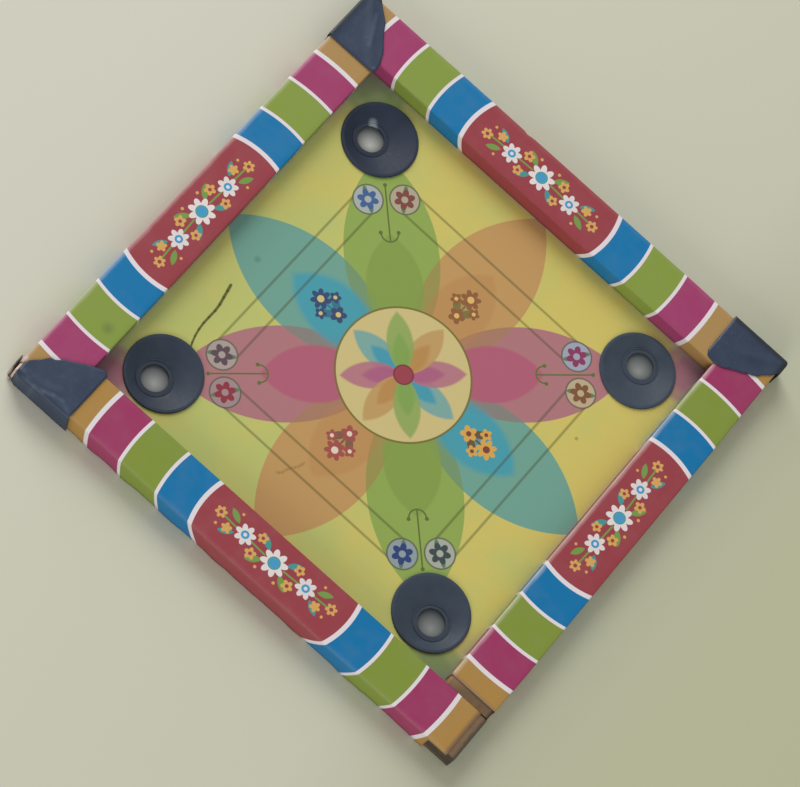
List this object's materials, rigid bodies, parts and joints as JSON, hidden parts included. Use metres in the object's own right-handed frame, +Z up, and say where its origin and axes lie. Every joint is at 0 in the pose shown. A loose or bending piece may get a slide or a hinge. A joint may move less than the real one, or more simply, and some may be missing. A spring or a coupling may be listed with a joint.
{
  "type": "carrom board",
  "caption": "Small square carrom board: film-wrapped batten frame round a printed panel, with shallow round pocket cups holed off centre and moulded corner guards.",
  "frame": {"origin": "middle of the underside of the frame, on the surface that the board lies on", "axes": "+Z up out of the playing face; X and Y along the sides, +Y towards the far rail, +X towards the right rail"},
  "size_m": [0.412, 0.412, 0.0221],
  "materials": {
    "hardboard": "pressed hardboard, smooth face up, screen-marked back",
    "printed_sheet": "printed laminate, satin, lightly scuffed",
    "softwood": "planed and unfinished, dirty at the bare ends",
    "printed_film": "printed film, satin, striped in red, blue, green, magenta and orange",
    "cup_plastic": "moulded, satin, dark navy",
    "guard_plastic": "moulded, satin, dark navy, scuffed",
    "pin_steel": "bright wire, dulled",
    "nail_steel": "bright wire, dulled and rusty"
  },
  "bodies": {
    "root": {"board_panel": "hardboard", "playing_sheet": "printed_sheet", "far_rail": "softwood", "right_rail": "softwood", "near_rail": "softwood", "left_rail": "softwood", "far_rail_film": "printed_film", "right_rail_film": "printed_film", "near_rail_film": "printed_film", "left_rail_film": "printed_film", "far_left_pocket_cup": "cup_plastic", "far_right_pocket_cup": "cup_plastic", "near_right_pocket_cup": "cup_plastic", "near_left_pocket_cup": "cup_plastic", "far_left_corner_guard": "guard_plastic", "far_right_corner_guard": "guard_plastic", "near_left_corner_guard": "guard_plastic", "panel_pins": "pin_steel", "corner_nails": "nail_steel"}
  },
  "joints": []
}
